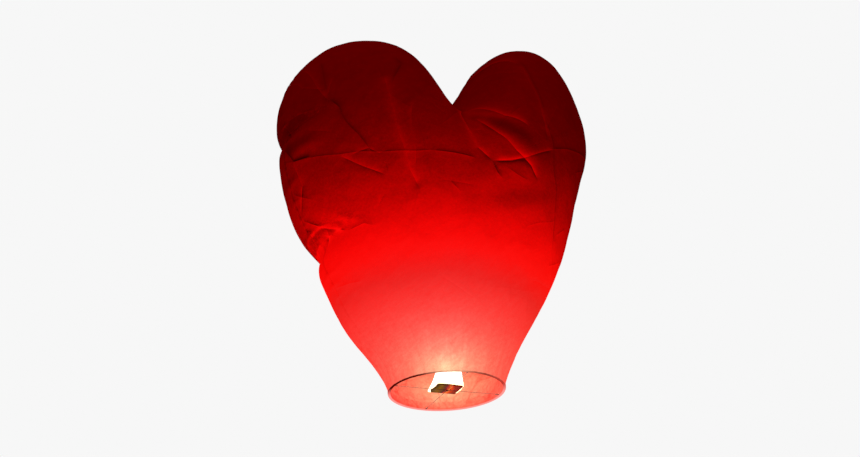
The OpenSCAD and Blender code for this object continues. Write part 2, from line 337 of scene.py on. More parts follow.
def fold_layers(folds, g, s, t):
    """Each layer's (signed distance, height, reach) at each grid point, for the shader to draw the
    folds sharper than the mesh. A fold goes to the layer where it meets the fewest others."""
    flat = np.stack([s, t], axis=-1)
    flat = flat + 0.004 * np.stack([value_noise(g, 0.06, 31), value_noise(g, 0.06, 32)], axis=-1)
    layers = [np.zeros((*s.shape, 3)) for _ in LAYERS]
    for layer in layers:
        layer[..., 0], layer[..., 2] = FAR, PLAIN_REACH
    for places, size, reach in folds:
        line = on_sheet(places, g, s, t)
        low, high = np.min(line, axis=0) - FAR, np.max(line, axis=0) + FAR
        near = np.all((flat > low) & (flat < high), axis=-1)
        d, share = along_line(flat[near], line)
        fade = smooth(np.minimum(share, 1 - share) * np.sum(gaps(line)) / 0.03 + 0.1)
        marked = np.abs(d) < np.minimum(FOLD_SPAN * reach, FAR)
        weight = abs(size) * fade * np.exp(-np.abs(d) / reach) * marked
        held = []
        for other in layers:
            there = np.abs(other[near][:, 1]) * np.exp(-np.abs(other[near][:, 0]) / PLAIN_REACH)
            held.append(np.sum((there > 1e-5) & (weight > 1e-5)))
        if min(held) > 4 and abs(size) < FAINT:
            continue
        layer = layers[int(np.argmin(held))]
        old = layer[near]
        there = np.abs(old[:, 1]) * np.exp(-np.abs(old[:, 0]) / old[:, 2])
        close = smooth(2.2 - np.abs(d) / (2 * reach))
        new = np.stack([d, size * fade * close, np.full(d.shape, reach)], axis=-1)
        layer[near] = np.where((weight > np.maximum(there, 1e-6))[:, None], new, old)
    return layers


def swell_relief(swells, g):
    height = np.zeros(g.shape[:-1])
    for (x, z), (across, up), depth, turn in swells:
        c, n = math.cos(math.radians(turn)), math.sin(math.radians(turn))
        dx, dz = g[..., 0] - x, g[..., 2] - z
        u, v = (dx * c + dz * n) / across, (dz * c - dx * n) / up
        height += depth * np.exp(-(u**2) - v**2)
    return height


def pucker_relief(away, along):
    """Gathers that run inwards from the seam, deepest over the lobes and at the cleft."""
    edge = np.stack([along, along * 0, along * 0], axis=-1)
    phase = along / 0.052 + 1.1 * value_noise(edge, 0.11, 5)
    valley = (1 - np.abs(np.sin(np.pi * phase))) ** 2
    fine = (1 - np.abs(np.sin(np.pi * (along / 0.021 + value_noise(edge, 0.04, 6))))) ** 2
    depth = 0.0026 * (0.45 + 0.55 * value_noise(edge, 0.07, 8))
    reach = 0.026 * (1 + 0.6 * value_noise(edge, 0.06, 9))
    return -depth * valley * np.exp(-away / reach) - 0.0008 * fine * np.exp(-away / 0.010)


def around_mouth(p):
    """(turn around the mouth, level unit vector outward) for each point."""
    turn = np.arctan2(p[..., 1], p[..., 0])
    return turn, np.stack([np.cos(turn), np.sin(turn), turn * 0], axis=-1)


def mouth_relief(g, t):
    """Gathers that run up from the hem."""
    turn, circle = around_mouth(g)
    phase = 19 * turn / np.pi + 1.3 * value_noise(circle, 0.3, 11)
    valley = (1 - np.abs(np.sin(np.pi * phase))) ** 1.5
    reach = 0.05 * (1 + 0.5 * value_noise(circle, 0.2, 12))
    grow = smooth(t / 0.02)
    return -0.0016 * valley * grow * np.exp(-t / reach)


def billow(p):
    """The envelope's large unevenness, as a shift of each point. It is nothing at the mouth."""
    held = smooth((p[..., 2:3] - HEM_H) / 0.12)
    wave = np.stack([value_noise(p + 5, 0.42, 20 + k) for k in range(3)], axis=-1)
    shift = wave * np.array([0.003, 0.007, 0.003])
    for (x, z), (across, up), (dx, dz) in PUSHES:
        near = np.exp(-(((p[..., 0] - x) / across) ** 2) - ((p[..., 2] - z) / up) ** 2)
        shift = shift + near[..., None] * np.array([dx, 0, dz])
    return held * shift


class Panel:
    """One sheet of the envelope: its smooth shape, its creased shape and the folds marked on it."""

    def __init__(self, way, folds, swells):
        self.way = way
        base = panel_grid(way)
        s, t = sheet_coordinates(base)
        away, along = from_seam(base, seam_points(base))
        self.big = base + billow(base)
        self.normals = grid_normals(self.big, way)
        open_face = smooth(away / 0.03)
        held = smooth(t / 0.04)
        height = swell_relief(swells, base) * open_face
        height += pucker_relief(away, along) * smooth((base[..., 2] - HEM_H) / 0.12)
        height += mouth_relief(base, t)
        crumple = 0.0026 * facets(base, 0.13, 41) + 0.0008 * facets(base, 0.05, 51) - 0.0013
        height += crumple * held * (0.3 + 0.7 * open_face)
        height += 0.0020 * value_noise(base, 0.16, 61) * held
        self.points = self.big + self.normals * height[..., None]
        self.folds = fold_layers(folds, base, s, t)
        for layer in self.folds:
            layer[..., 1] *= 0.25 + 0.75 * open_face


# ------------------------ meshes


def object_of(mesh, material, smooth_shade=True):
    """An object in the scene that shows this mesh, and has its name."""
    mesh.polygons.foreach_set("use_smooth", [smooth_shade] * len(mesh.polygons))
    mesh.materials.append(material)
    obj = bpy.data.objects.new(mesh.name, mesh)
    bpy.context.scene.collection.objects.link(obj)
    return obj


def new_object(name, verts, faces, material, smooth_shade=True):
    mesh = bpy.data.meshes.new(name)
    mesh.from_pydata([tuple(v) for v in verts], [], [tuple(f) for f in faces])
    mesh.validate()
    return object_of(mesh, material, smooth_shade)


def store(obj, name, values):
    """Keeps a number or a vector for each point of a mesh."""
    values = np.asarray(values, np.float32)
    kind, key = ("FLOAT", "value") if values.ndim == 1 else ("FLOAT_VECTOR", "vector")
    obj.data.attributes.new(name, kind, "POINT").data.foreach_set(key, values.ravel())


def panel_faces(shape, way):
    """Quads of the grid, with triangles where the first and last columns shrink to a point."""
    rows, cols = shape

    def at(i, j):
        i = min(i, LOW_ROWS) if j in (0, cols - 1) else i
        return i * cols + j

    faces = []
    for i in range(rows - 1):
        for j in range(cols - 1):
            ring = [at(i, j), at(i, j + 1), at(i + 1, j + 1), at(i + 1, j)]
            kept = [v for k, v in enumerate(ring) if v != ring[k - 1]]
            faces.append(kept if way < 0 else kept[::-1])
    return faces


def seam_lap(panel, first, rows, cols):
    """The front sheet's glued margin, turned over the seam onto the back sheet."""
    points, normals = panel.points, panel.normals
    ids = [(i, 0) for i in range(LOW_ROWS + 1)] + [(rows - 1, j) for j in range(1, cols - 1)]
    ids += [(i, cols - 1) for i in range(LOW_ROWS, -1, -1)]
    edge = np.array([points[i] for i in ids])
    out = np.array([normals[i] for i in ids])
    steps = [(0.0004, 0.0008), (LAP * 0.5, 0.0007), (LAP, 0.0011)]
    wave = value_noise(edge, 0.03, 71)
    lift = 0.0005 * value_noise(edge, 0.018, 72)
    verts, faces = [], []
    last = [i * cols + j for i, j in ids]
    for k, (over, proud) in enumerate(steps):
        share = over / LAP
        ring = edge + out * (proud + share * lift)[:, None]
        ring[:, 1] += over * (1 + 0.12 * wave)
        here = [first + k * len(ids) + n for n in range(len(ids))]
        verts.extend(ring)
        for n in range(len(ids) - 1):
            faces.append([last[n], here[n], here[n + 1], last[n + 1]][::-1])
        last = here
    return verts, faces, out


def make_panel(name, node, panel, material):
    rows, cols = panel.points.shape[:2]
    verts = list(panel.points.reshape(-1, 3))
    faces = panel_faces((rows, cols), panel.way)
    smooth_n = list(panel.normals.reshape(-1, 3))
    folds = [list(layer.reshape(-1, 3)) for layer in panel.folds]
    layers = [1.0] * len(verts)
    if panel.way < 0:
        more, lap_faces, out = seam_lap(panel, len(verts), rows, cols)
        verts += more
        faces += lap_faces
        smooth_n += list(np.tile(out, (3, 1)))
        folds = [layer + [(FAR, 0, PLAIN_REACH)] * len(more) for layer in folds]
        layers += [2.0] * len(more)
    obj = new_object(name, verts, faces, material)
    store(obj, "smooth_normal", smooth_n)
    for layer, values in zip(LAYERS, folds):
        store(obj, layer, values)
    store(obj, "layers", layers)
    drop_loose(obj)
    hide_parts(node)
    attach(obj, "lantern")
    return obj


def drop_loose(obj):
    """Removes the grid points that no face uses."""
    bm = bmesh.new()
    bm.from_mesh(obj.data)
    loose = [v for v in bm.verts if not v.link_faces]
    bmesh.ops.delete(bm, geom=loose, context="VERTS")
    bm.to_mesh(obj.data)
    bm.free()


def hem_profile():
    """The folded edge's section as (radius, height): down outside the hoop, under it, up inside it
    and out again to the wall it is glued to."""
    out_r, in_r = MOUTH_R - 0.0002, MOUTH_R - 0.0062
    bend, mid = 0.0022, 0.0024  # radius of the two lower corners, and the height of their middles
    path = [(out_r, HEM_H), (out_r + 0.0001, 0.010), (out_r + 0.0001, 0.005)]
    quarter = [math.pi / 2 * k / 6 for k in range(7)]
    path += [(out_r - bend * (1 - math.cos(a)), mid - bend * math.sin(a)) for a in quarter]
    path += [(in_r + bend * (1 - math.sin(a)), mid - bend * math.cos(a)) for a in quarter]
    path += [(in_r, 0.005), (in_r + 0.0002, 0.008), (in_r + 0.0016, 0.0105), (out_r - 0.0012, 0.0135)]
    path += [(out_r - 0.0008, 0.017), (out_r - 0.0006, 0.021), (out_r - 0.0010, 0.024)]
    return path


def make_hem(material):
    profile = hem_profile()
    around = 480
    verts, faces = [], []
    for n in range(around):
        a = 2 * math.pi * n / around
        for r, z in profile:
            verts.append((r * math.cos(a), r * math.sin(a), z))
    verts = np.array(verts)
    free = smooth((verts[:, 2] - 0.009) / 0.01)
    inside = smooth((MOUTH_R - 0.003 - np.hypot(verts[:, 0], verts[:, 1])) / 0.002)
    turn, outward = around_mouth(verts)
    gather = np.abs(np.sin(19 * turn + 3 * value_noise(outward, 0.3, 11)))
    shift = inside * (0.0006 * gather + 0.0006 * value_noise(verts, 0.012, 81))
    verts = verts - outward * np.maximum(shift, -0.0002)[:, None]
    m = len(profile)
    end = np.arange(len(verts)) % m >= m - 2
    verts[end, 2] += 0.0022 * value_noise(outward[end], 0.05, 83) * free[end]
    for n in range(around):
        nxt = (n + 1) % around
        for k in range(m - 1):
            faces.append([n * m + k, nxt * m + k, nxt * m + k + 1, n * m + k + 1][::-1])
    obj = new_object("hem", verts, faces, material)
    store(obj, "smooth_normal", outward)
    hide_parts("mouth_hem")
    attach(obj, "lantern")
    return obj


def board_outline(w, d, r, seed):
    """A rounded rectangle with slightly uneven edges, as points round it."""
    points = []
    for cx, cy, start in ((1, 1, 0), (-1, 1, 90), (-1, -1, 180), (1, -1, 270)):
        for k in range(5):
            a = math.radians(start + 90 * k / 4)
            points.append((cx * (w - r) + r * math.cos(a), cy * (d - r) + r * math.sin(a)))
    dense = []
    for a, b in zip(points, points[1:] + points[:1]):
        a, b = np.array(a), np.array(b)
        parts = max(1, int(np.linalg.norm(b - a) / 0.0015))
        dense += [a + (b - a) * k / parts for k in range(parts)]
    dense = np.array(dense)
    p3 = np.concatenate([dense, np.full((len(dense), 1), seed * 1.0)], axis=1)
    pull = 0.0007 * (1 + value_noise(p3, 0.006, 90 + seed)) / 2 + 0.0003 * (1 + value_noise(p3, 0.002, 95))
    return dense * (1 - pull[:, None] / np.linalg.norm(dense, axis=1, keepdims=True))


def join_rings(bm, a, b):
    """Quads between two rings of vertices."""
    for k in range(len(a)):
        n = (k + 1) % len(a)
        bm.faces.new((a[k], a[n], b[n], b[k]))


def make_board(number, material):
    """One sheet of waxed board: a thin slab with worn edges and slightly uneven faces."""
    node = f"fuel_sheet_{number}"
    low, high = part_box(node)
    w, d = (high[0] - low[0]) / 2, (high[1] - low[1]) / 2
    edge = board_outline(w, d, BOARD_CORNER, number)
    thick = high[2] - low[2]
    bm = bmesh.new()
    rings = []
    # The slab's section, as shares of the outline and of the thickness
    section = [(0.90, 0.04), (0.985, 0.05), (1.0, 0.22), (0.998, 0.5)]
    section += [(1.0, 0.78), (0.985, 0.95), (0.90, 0.96)]
    for scale, height in section:
        p3 = np.concatenate([edge * scale, np.full((len(edge), 1), height)], axis=1)
        levels = low[2] + height * thick + 0.00008 * value_noise(p3, 0.008, 100 + number)
        rings.append([bm.verts.new((x * scale, y * scale, z)) for (x, y), z in zip(edge, levels)])
    for a, b in zip(rings, rings[1:]):
        join_rings(bm, a, b)
    cap(bm, rings[0], low[2] + 0.04 * thick, number, down=True)
    cap(bm, rings[-1], low[2] + 0.96 * thick, number, down=False)
    mesh = bpy.data.meshes.new(f"board_{number}")
    bmesh.ops.recalc_face_normals(bm, faces=bm.faces[:])
    bm.to_mesh(mesh)
    bm.free()
    obj = object_of(mesh, material)
    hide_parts(node)
    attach(obj, "fuel_cell")
    return obj


def cap(bm, ring, z, number, down):
    """Closes one face of a board with rings that shrink to a point in its middle."""
    last = ring
    way = -1 if down else 1
    for scale in (0.8, 0.6, 0.4, 0.2):
        here = []
        for v in ring:
            p = np.array([[v.co.x / 0.9 * scale, v.co.y / 0.9 * scale, z]])
            swell = 0.00006 * value_noise(p, 0.01, 110 + number)[0] * way
            here.append(bm.verts.new((p[0, 0], p[0, 1], z + swell)))
        join_rings(bm, last, here)
        last = here
    middle = bm.verts.new((0, 0, z))
    for k in range(len(ring)):
        bm.faces.new((last[k], last[(k + 1) % len(ring)], middle))


def make_flame(material):
    """A body of flame as wide as the fuel, which it wraps, rising straight and breaking into tongues."""
    around, up = 96, 80
    base_z = CELL_LOW[2] + 0.0028
    half_x, half_y = CELL_HIGH[:2]
    verts, faces = [], []
    for i in range(up + 1):
        h = i / up
        for k in range(around):
            a = 2 * math.pi * k / around
            c, s = math.cos(a), math.sin(a)
            square = (abs(c) ** 14 + abs(s) ** 14) ** (-1 / 14)
            tongue = 0.62 + 0.38 * abs(math.cos(1.5 * a + 0.4)) ** 0.8
            lick = 0.0010 + 0.0024 * math.exp(-((h / 0.07) ** 2)) * (1 + 0.8 * math.sin(3 * a + 0.9))
            waist = 1 - 0.02 * math.exp(-(((h - 0.17) / 0.09) ** 2)) - 0.012 * math.sin(9 * h + 2 * a)
            taper = max(0.0, 1 - h**3) ** 0.7 * (1 - 0.20 * smooth(h / 0.35))
            height = FLAME_H * h * (tongue + (1 - tongue) * (1 - h))
            sway = 0.010 * h**2
            verts.append((
                (half_x + lick) * square * c * waist * taper
                + 0.006 * smooth(h / 0.3) + sway * math.sin(5 * h),
                (half_y + lick) * square * s * waist * taper - sway,
                base_z + height,
            ))
    for i in range(up):
        for k in range(around):
            n = (k + 1) % around
            faces.append([i * around + k, i * around + n, (i + 1) * around + n, (i + 1) * around + k])
    faces.append([up * around + k for k in range(around)])
    obj = new_object("flame", verts, faces, material)
    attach(obj, "fuel_cell")
    return obj


# ------------------------ materials


class Nodes:
    """Short ways to build a node tree."""

    def __init__(self, name):
        self.material = bpy.data.materials.new(name)
        self.material.use_nodes = True
        self.tree = self.material.node_tree
        self.tree.nodes.clear()
        out = self.tree.nodes.new("ShaderNodeOutputMaterial")
        self.surface = self.tree.nodes.new("ShaderNodeBsdfPrincipled")
        self.feed(out.inputs[0], self.surface.outputs[0])

    def node(self, kind, inputs=(), **settings):
        """A new node, with its settings, and with numbers, colours or links for its inputs."""
        made = self.tree.nodes.new("ShaderNode" + kind)
        for key, value in settings.items():
            setattr(made, key, value)
        for key, value in dict(inputs).items():
            self.feed(made.inputs[key], value)
        return made

    def feed(self, target, value):
        """Sets a socket to a number or colour, or links it."""
        if isinstance(value, bpy.types.NodeSocket):
            self.tree.links.new(value, target)
        else:
            target.default_value = value

    def math(self, operation, a, b=0.0):
        return self.node("Math", {0: a, 1: b}, operation=operation).outputs[0]

    def times(self, *values):
        return reduce(lambda a, b: self.math("MULTIPLY", a, b), values)

    def plus(self, *values):
        return reduce(lambda a, b: self.math("ADD", a, b), values)

    def clamped(self, value, low, high):
        return self.math("MINIMUM", self.math("MAXIMUM", value, low), high)

    def fading(self, steps):
        """From 1 at no steps towards 0, as e to the power of minus the steps."""
        return self.math("EXPONENT", self.times(steps, -1.0))

    def vector(self, operation, a, b=(0, 0, 0)):
        made = self.node("VectorMath", {0: a, 1: b}, operation=operation)
        return made.outputs["Value" if operation in ("DOT_PRODUCT", "LENGTH", "DISTANCE") else "Vector"]

    def scaled(self, where, by):
        return self.vector("MULTIPLY", where, by)

    def grey(self, value):
        return self.scaled((1, 1, 1), value)

    def split(self, vector):
        return self.node("SeparateXYZ", {0: vector}).outputs

    def join(self, x, y, z):
        return self.node("CombineXYZ", {0: x, 1: y, 2: z}).outputs[0]

    def radius(self, where):
        """How far a place is from the lantern's upright axis."""
        return self.vector("LENGTH", self.scaled(where, (1, 1, 0)))

    def place(self):
        return self.node("TexCoord").outputs["Object"]

    def noise(self, where, scale, detail=3.0, rough=0.55, warp=0.0):
        inputs = {"Vector": where, "Scale": scale, "Detail": detail, "Roughness": rough, "Distortion": warp}
        return self.node("TexNoise", inputs).outputs["Fac"]

    def cells(self, where, scale):
        """Distance to the edges between random cells."""
        inputs = {"Vector": where, "Scale": scale}
        return self.node("TexVoronoi", inputs, feature="DISTANCE_TO_EDGE").outputs["Distance"]

    def spread(self, value, low, high, to_low=0.0, to_high=1.0):
        inputs = {"Value": value, "From Min": low, "From Max": high, "To Min": to_low, "To Max": to_high}
        return self.node("MapRange", inputs).outputs["Result"]

    def ramp(self, value, stops):
        made = self.node("ValToRGB", {0: value})
        elements = made.color_ramp.elements
        while len(elements) < len(stops):
            elements.new(0.5)
        for element, (at, colour) in zip(elements, stops):
            element.position = at
            element.color = (*colour, 1)
        return made.outputs[0]

    def mix(self, share, a, b, blend="MIX"):
        a, b = (v if isinstance(v, bpy.types.NodeSocket) else (*v, 1) for v in (a, b))
        return self.node("Mix", {0: share, 6: a, 7: b}, data_type="RGBA", blend_type=blend).outputs[2]

    def bump(self, height, distance, strength=1.0, normal=None):
        inputs = {"Strength": strength, "Distance": distance, "Height": height}
        if normal is not None:
            inputs["Normal"] = normal
        return self.node("Bump", inputs).outputs["Normal"]

    def attribute(self, name, output="Fac"):
        return self.node("Attribute", attribute_name=name).outputs[output]

    def set(self, **sockets):
        names = {
            "base": "Base Color", "rough": "Roughness", "metal": "Metallic", "normal": "Normal",
            "glow": "Emission Color", "strength": "Emission Strength", "specular": "Specular IOR Level",
        }
        for key, value in sockets.items():
            socket = self.surface.inputs[names[key]]
            if isinstance(value, tuple) and len(value) == 3:
                value = (*value, 1)
            self.feed(socket, value)
        return self.material


# The light that comes through one sheet of red paper, by distance from the flame as the ramp counts
# it: pink by the mouth, then red, and out at the lobes' tops
PINK, PINK_REACH = 0.042, 0.22  # the paleness that the near flame adds, and how far it carries
FULL_RED, RED_REACH, RED_FADE = 0.92, 0.33, 0.14  # the red holds to its reach, then fades
DIM, DIM_PLACE, DIM_WIDTH = 0.16, 0.265, 0.035  # the duller red belt where the paleness ends
NEAREST, FURTHEST, STOPS = 0.08, 0.80, 25  # where the ramp begins and ends, and its stops


def glow_at(distance):
    """The colour that shines through the paper at a stretched distance from the flame."""
    pink = PINK * math.exp(-((distance / PINK_REACH) ** 3))
    red = FULL_RED * math.exp(-((max(0.0, distance - RED_REACH) / RED_FADE) ** 1.4))
    red *= 1 - DIM * math.exp(-(((distance - DIM_PLACE) / DIM_WIDTH) ** 2))
    return red, pink, pink


GLOW = [(float(d), glow_at(float(d))) for d in np.linspace(NEAREST, FURTHEST, STOPS)]
SIDEWAYS = 0.7  # how much less a step sideways dims the paper than a step up
BRIGHTEST = (-0.03, 0.0, 0.02)  # the point that those distances are counted from
# Powers by which a creased patch that faces the flame seems nearer, paler and redder, and is lit outside, as
# painted light and shade in the outside colour
NEARER, PALER, REDDER, LIT_OUTSIDE = -0.30, 0.7, 0.12, 0.45
# Pools of the flame's light: place, how much each direction counts, reach and colour. It leans to
# one side of the front sheet, shines straight on the inside of the back sheet, and gathers under
# the folds beside the cleft
POOLS = [
    ((-0.055, -0.137, 0.010), (0.61, 0.61, 1.0), 0.040, (0.05, 0.50, 0.14)),
    ((-0.055, -0.137, 0.010), (0.95, 0.95, 1.0), 0.065, (0.03, 0.19, 0.23)),
    ((0.060, 0.135, 0.070), (0.75, 0.75, 0.9), 0.060, (0.05, 0.62, 0.30)),
    ((0.035, -0.100, 0.660), (1.0, 1.0, 1.0), 0.090, (0.085, 0.0, 0.0)),
]


def paper_relief(n, where):
    """Coarse and fine crumpling and fibres, as one height."""
    crumple = n.math("MINIMUM", n.cells(where, 22.0), 0.35)
    small = n.math("MINIMUM", n.cells(n.vector("ADD", where, (3.1, 1.7, 0.4)), 70.0), 0.3)
    fibre = n.noise(where, 900.0, 2.0, 0.6)
    return n.plus(n.times(crumple, 0.55), n.times(small, 0.22), n.times(fibre, 0.06))


def gathers(n, where):
    """(thin upright wrinkles as a height, how much this is near the mouth)."""
    x, y, z = n.split(where)
    angle = n.math("ARCTAN2", y, x)
    wrinkle = n.join(n.math("SINE", angle), n.math("COSINE", angle), n.times(z, 1.6))
    broad = n.math("MINIMUM", n.cells(wrinkle, 5.5), 0.3)
    fine = n.math("MINIMUM", n.cells(wrinkle, 13.0), 0.3)
    return n.plus(broad, n.times(fine, 0.5)), n.spread(z, 0.03, 0.17, 1.0, 0.0)


def fold_lines(n):
    """The sharp folds' height in metres, drawn from the distances stored on the sheet."""
    total = 0.0
    for layer in LAYERS:
        away, height, reach = n.split(n.attribute(layer, "Vector"))
        steps = n.math("DIVIDE", n.math("ABSOLUTE", away), n.math("MAXIMUM", reach, 0.001))
        total = n.plus(total, n.times(height, n.fading(steps)))
    return total


def facing_flame(n, where, normal):
    """How squarely the creased paper faces the flame, beside the smooth paper there (1)."""
    to_flame = n.vector("NORMALIZE", n.vector("SUBTRACT", tuple(FLAME), where))
    facing = n.math("ABSOLUTE", n.vector("DOT_PRODUCT", normal, to_flame))
    smooth_normal = n.attribute("smooth_normal", "Vector")
    usual = n.math("ABSOLUTE", n.vector("DOT_PRODUCT", smooth_normal, to_flame))
    ratio = n.math("DIVIDE", n.plus(facing, 0.10), n.plus(usual, 0.10))
    return n.clamped(ratio, 0.3, 2.2)


def spot(n, where, centre, counts, reach, colour):
    """A soft pool of extra light on the paper."""
    step = n.scaled(n.vector("SUBTRACT", where, centre), counts)
    away = n.math("DIVIDE", n.vector("LENGTH", step), reach)
    return n.mix(1.0, colour, n.grey(n.fading(away)), "MULTIPLY")


def long_fibres(n, where):
    """Streaky unevenness of the paper, along one slant, from 0 to 1."""
    turned = n.node("VectorRotate", {"Vector": where, "Angle": math.radians(38)}, rotation_type="Y_AXIS")
    return n.noise(n.scaled(turned.outputs[0], (1, 1, 4.5)), 26.0, 4.0, 0.65, 0.6)


# The wrinkles beside the mouth: how many, how upright, how wide and what share of light they leave
WRINKLES = [(13.0, 0.45, 0.030, 0.66), (24.0, 0.8, 0.035, 0.78), (46.0, 0.4, 0.045, 0.86)]


def inner_wrinkles(n, where):
    """Thin shadows of the wrinkles beside the mouth on the back sheet, as a share of the light."""
    drift = n.node("TexNoise", {"Vector": where, "Scale": 14.0}).outputs["Color"]
    bent = n.vector("ADD", where, n.scaled(drift, (0.03, 0.03, 0.03)))
    shade = 1.0
    for scale, upright, width, darkest in WRINKLES:
        swirl = n.noise(n.scaled(bent, (1, 1, upright)), scale, 1.5, 0.5, 0.4)
        line = n.math("ABSOLUTE", n.math("SUBTRACT", swirl, 0.5))
        shade = n.times(shade, n.spread(line, 0.0, width, darkest, 1.0))
    _, y, z = n.split(where)
    here = n.times(n.spread(y, 0.0, 0.05), n.spread(z, 0.09, 0.20, 1.0, 0.0))
    shade = n.times(shade, n.spread(z, 0.004, 0.030, 0.62, 1.0))
    return n.plus(1.0, n.times(here, n.math("SUBTRACT", shade, 1.0)))


def through_paper(n, where, ratio, layers, wrinkles, crease_light_and_shade=0.0):
    """The colour of the light that comes through the paper here."""
    lit = n.math("POWER", ratio, NEARER)
    clouds = n.noise(where, 9.0, 4.0, 0.62)
    pulp = n.noise(where, 150.0, 3.0, 0.7)
    grain = n.noise(where, 420.0, 3.0, 0.8)
    uneven = n.plus(
        n.spread(clouds, 0.3, 0.7, -0.026, 0.026),
        n.spread(pulp, 0.3, 0.7, -0.034, 0.034),
        n.spread(grain, 0.3, 0.7, -0.016, 0.016),
        1.0,
    )
    stretched = n.scaled(n.vector("SUBTRACT", where, BRIGHTEST), (SIDEWAYS, SIDEWAYS, 1))
    doubled = n.spread(layers, 1.0, 2.0, 1.0, 1.04)
    # Painted light along the folds: outward folds let a little more glow through, inward ones a little less
    creased = n.math("SUBTRACT", 1.0, n.times(crease_light_and_shade, 0.045))
    far = n.times(n.vector("LENGTH", stretched), lit, uneven, doubled, creased)
    colour = n.ramp(far, GLOW)
    for centre, counts, reach, painted_light_and_tone in POOLS:
        colour = n.mix(1.0, colour, spot(n, where, centre, counts, reach, painted_light_and_tone), "ADD")
    # Wrinkles and pulp change how much of the pale light gets through more than how much of the red
    clear = n.times(
        n.math("POWER", ratio, PALER),
        n.spread(wrinkles, 0.0, 0.45, 0.88, 1.09),
        n.spread(pulp, 0.3, 0.7, 0.86, 1.14),
        n.spread(long_fibres(n, where), 0.35, 0.65, 0.90, 1.10),
        inner_wrinkles(n, where),
    )
    speck = n.spread(grain, 0.3, 0.7, 0.92, 1.08)
    pale = n.times(speck, clear)
    share = n.join(n.times(speck, n.math("POWER", ratio, REDDER)), pale, pale)
    return n.mix(1.0, colour, share, "MULTIPLY")


def paper():
    n = Nodes("red_tissue")
    where = n.place()
    ridges = fold_lines(n)
    folds = n.bump(ridges, 1.0)
    # Painted highlight along outward folds and painted shade along inward ones, from the folds' height; it
    # changes both the outside colour and the light through the paper
    crease_light_and_shade = n.clamped(n.times(ridges, 400.0), -1.6, 2.2)
    lines, low = gathers(n, where)
    gathered = n.times(lines, low)
    wrinkles = n.plus(gathered, n.spread(low, 0.0, 1.0, 0.25, 0.0))
    height = n.plus(paper_relief(n, where), n.times(gathered, 0.9))
    normal = n.bump(height, 0.0016, 0.8, folds)
    ratio = facing_flame(n, where, normal)
    glow = through_paper(n, where, ratio, n.attribute("layers"), wrinkles, crease_light_and_shade)
    # Painted light and shade on the outside colour: patches that face the flame and outward folds come out
    # lighter, inward folds darker; the noise is the paper's own uneven tone
    painted_light_and_tone = n.times(
        n.spread(n.noise(where, 60.0, 4.0), 0.25, 0.75, 0.90, 1.08),
        n.math("POWER", ratio, LIT_OUTSIDE),
        n.plus(1.0, n.times(crease_light_and_shade, 0.24)),
    )
    base = n.mix(1.0, RED, n.grey(painted_light_and_tone), "MULTIPLY")
    return n.set(base=base, rough=0.85, specular=0.0, normal=normal, glow=glow, strength=1.0)


def hem_paper():
    """Doubled paper around the hoop, with a painted shadow of the hoop on the outside of the fold, and
    painted pale light along the fold on the far side.
    """
    n = Nodes("hem_tissue")
    where = n.place()
    lines = gathers(n, where)[0]
    height = n.plus(paper_relief(n, where), n.times(lines, 1.3), n.noise(where, 140.0, 3.0))
    normal = n.bump(height, 0.0012, 0.8)
    up = n.split(where)[2]
    way = n.vector("NORMALIZE", where)
    to_back = n.vector("DOT_PRODUCT", way, (0.36, 0.93, 0))
    far_side = n.spread(to_back, -0.30, 0.10)
    near_side = n.math("SUBTRACT", 1.0, far_side)
    outside = n.spread(n.radius(where), MOUTH_R - 0.0012, MOUTH_R - 0.0004)
    outside = n.math("MAXIMUM", outside, near_side)
    rough_edge = n.plus(up, n.spread(n.noise(where, 120.0, 3.0), 0.3, 0.7, -0.0006, 0.0006))
    shadow = n.spread(rough_edge, 0.0020, 0.0036, 1.0, 0.0)
    above = n.math("MAXIMUM", n.spread(up, 0.0001, 0.0006), near_side)
    to_left = n.vector("DOT_PRODUCT", way, (-0.80, -0.60, 0))
    deep = n.spread(to_left, -0.05, 0.75, 0.55, 1.0)
    lit_part = n.spread(n.vector("DISTANCE", where, (-0.040, -0.144, 0.0)), 0.02, 0.085, 0.25, 1.0)
    # Painted shadow of the hoop along the bottom of the hem, on its outside and all across the near side;
    # deeper towards the front left and fainter near one spot at the front. It darkens both the outside colour
    # and the light through the paper
    painted_hoop_shadow = n.times(shadow, outside, above, deep, lit_part)
    ratio = facing_flame(n, where, normal)
    glow = through_paper(n, where, ratio, 1.0, lines)
    # Painted light: a pale pink band along the bottom of the fold on the far side, where the flame shines on
    # the inside of the hem
    fold = n.times(n.spread(up, 0.0010, 0.0042, 1.0, 0.0), far_side)
    glow = n.mix(n.times(fold, 0.62), glow, (1.0, 0.48, 0.44))
    glow = n.mix(painted_hoop_shadow, glow, (0.060, 0.0, 0.0))
    base = n.mix(painted_hoop_shadow, (0.09, 0.002, 0.002), (0.030, 0.002, 0.001))
    return n.set(base=base, rough=0.8, specular=0.0, normal=normal, glow=glow, strength=1.0)


def bamboo():
    n = Nodes("split_bamboo")
    where = n.place()
    x, y, z = n.split(where)
    along = n.times(n.math("ARCTAN2", y, x), 0.9)
    strip = n.join(along, n.times(n.radius(where), 90.0), n.times(z, 90.0))
    grain = n.noise(strip, 14.0, 5.0, 0.65)
    colour = n.ramp(grain, [(0.25, (0.30, 0.17, 0.07)), (0.5, (0.56, 0.38, 0.18)), (0.8, (0.70, 0.54, 0.30))])
    normal = n.bump(grain, 0.0004, 0.7)
    return n.set(base=colour, rough=n.spread(grain, 0.2, 0.8, 0.38, 0.62), normal=normal, specular=0.4)


